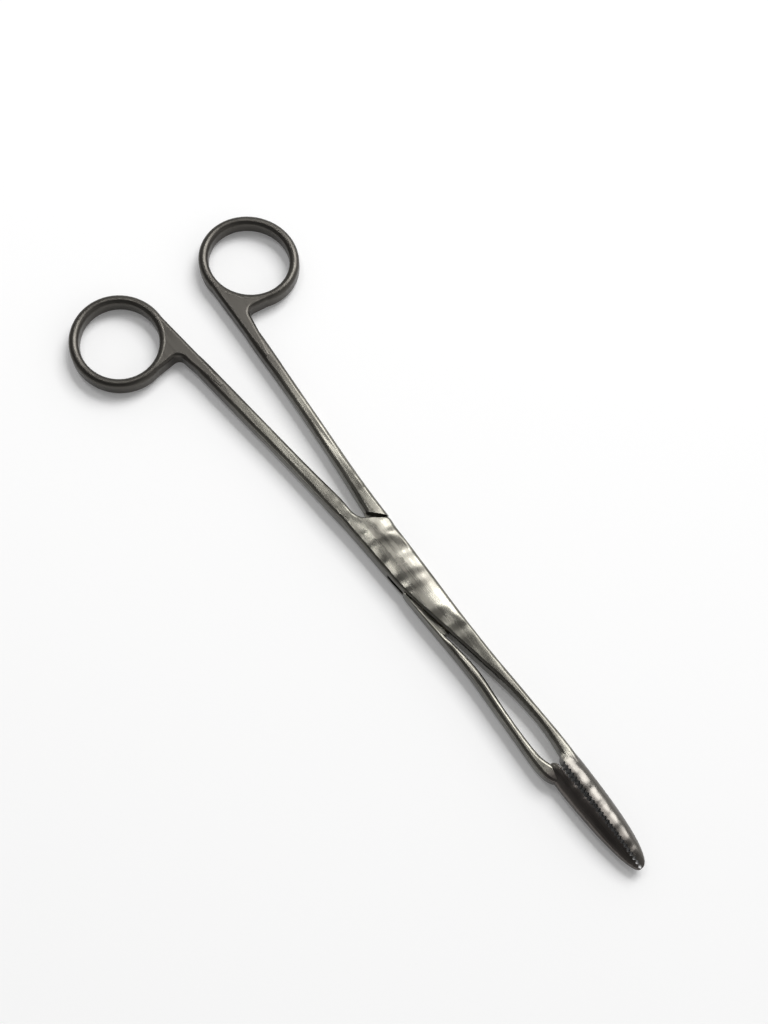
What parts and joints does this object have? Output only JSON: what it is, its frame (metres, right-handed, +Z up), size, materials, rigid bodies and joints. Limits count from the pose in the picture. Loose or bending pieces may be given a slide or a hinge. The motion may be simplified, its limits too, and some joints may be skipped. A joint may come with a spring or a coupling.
{
  "type": "sponge holding forceps",
  "caption": "Long straight box-lock forceps with oval finger rings, crossed shanks on a flush pin, and half-round jaws with cross serrations that open together.",
  "frame": {"origin": "on the pin's axis, at the flat underside of the lock, which is the face that the forceps lie on", "axes": "+X from the pin towards the jaws' tips, +Y towards the finger ring of the tongue half, +Z up along the pin"},
  "size_m": [0.2598, 0.0876, 0.007],
  "materials": {
    "box_half_steel": "satin ring, web and handle; polished lock, front shank and jaw",
    "tongue_half_steel": "satin ring, web and handle; polished lock, front shank and jaw",
    "pin_steel": "ground and polished flush with the lock"
  },
  "bodies": {
    "box_body": {"box_half": "box_half_steel", "pivot_pin": "pin_steel"},
    "tongue_body": {"tongue_half": "tongue_half_steel"}
  },
  "joints": [
    {"name": "jaw_opening", "type": "hinge", "parent": "box_body", "child": "tongue_body", "pos_m": [0, 0, 0.0035], "axis": [0, 0, -1], "range_deg": [0, 40]}
  ]
}
